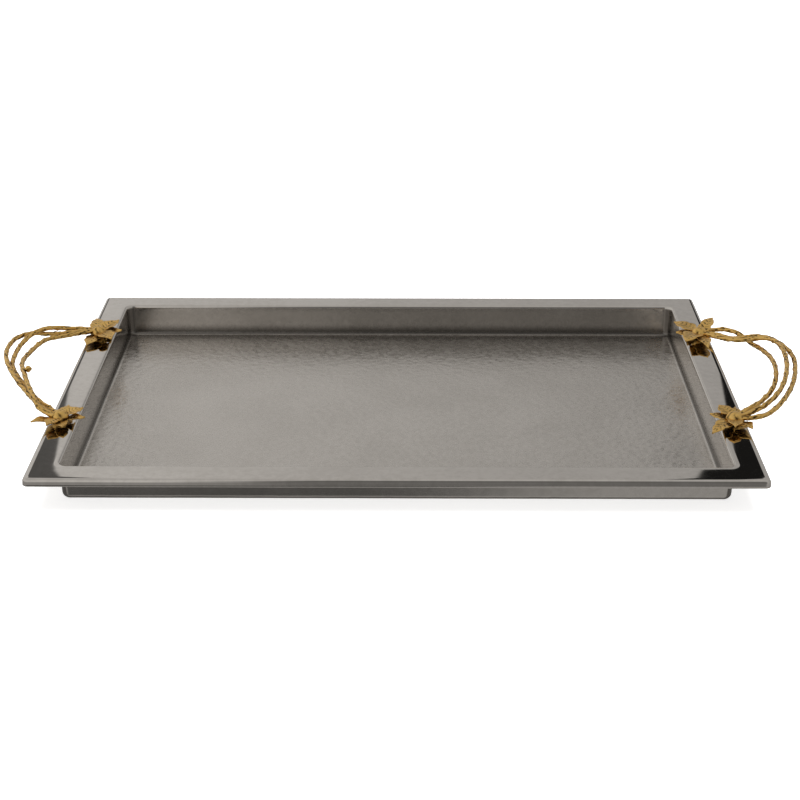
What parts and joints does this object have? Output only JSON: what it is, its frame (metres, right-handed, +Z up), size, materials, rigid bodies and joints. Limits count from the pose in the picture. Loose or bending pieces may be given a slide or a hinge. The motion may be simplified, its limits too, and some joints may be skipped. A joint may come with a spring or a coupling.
{
  "type": "serving tray",
  "caption": "Rectangular serving tray: pressed steel pan with a wide flat rim and a brass handle of twining vines with leaf clusters at each end.",
  "frame": {"origin": "centre of the flat base, on the table", "axes": "+X along the length from the left handle to the right one, +Y across from the front edge to the back edge, +Z up"},
  "size_m": [0.5933, 0.335, 0.0435],
  "materials": {
    "steel": "polished rim and walls, fine-hammered satin floor",
    "antique_brass": "rubbed antique brass, dark in the recesses",
    "fixings": "plain steel"
  },
  "bodies": {
    "root": {"handle_screws": "fixings", "handle_washers": "fixings", "left_back_knot": "antique_brass", "left_back_leaf_1": "antique_brass", "left_back_leaf_2": "antique_brass", "left_back_leaf_3": "antique_brass", "left_back_leaf_4": "antique_brass", "left_back_leaf_5": "antique_brass", "left_bud": "antique_brass", "left_front_knot": "antique_brass", "left_front_leaf_1": "antique_brass", "left_front_leaf_2": "antique_brass", "left_front_leaf_3": "antique_brass", "left_front_leaf_4": "antique_brass", "left_front_leaf_5": "antique_brass", "left_front_leaf_6": "antique_brass", "left_inner_vine": "antique_brass", "left_middle_vine": "antique_brass", "left_outer_vine": "antique_brass", "right_back_knot": "antique_brass", "right_back_leaf_1": "antique_brass", "right_back_leaf_2": "antique_brass", "right_back_leaf_3": "antique_brass", "right_back_leaf_4": "antique_brass", "right_back_leaf_5": "antique_brass", "right_front_knot": "antique_brass", "right_front_leaf_1": "antique_brass", "right_front_leaf_2": "antique_brass", "right_front_leaf_3": "antique_brass", "right_front_leaf_4": "antique_brass", "right_front_leaf_5": "antique_brass", "right_front_leaf_6": "antique_brass", "right_inner_vine": "antique_brass", "right_middle_vine": "antique_brass", "right_outer_vine": "antique_brass", "tray_pan": "steel"}
  },
  "joints": []
}
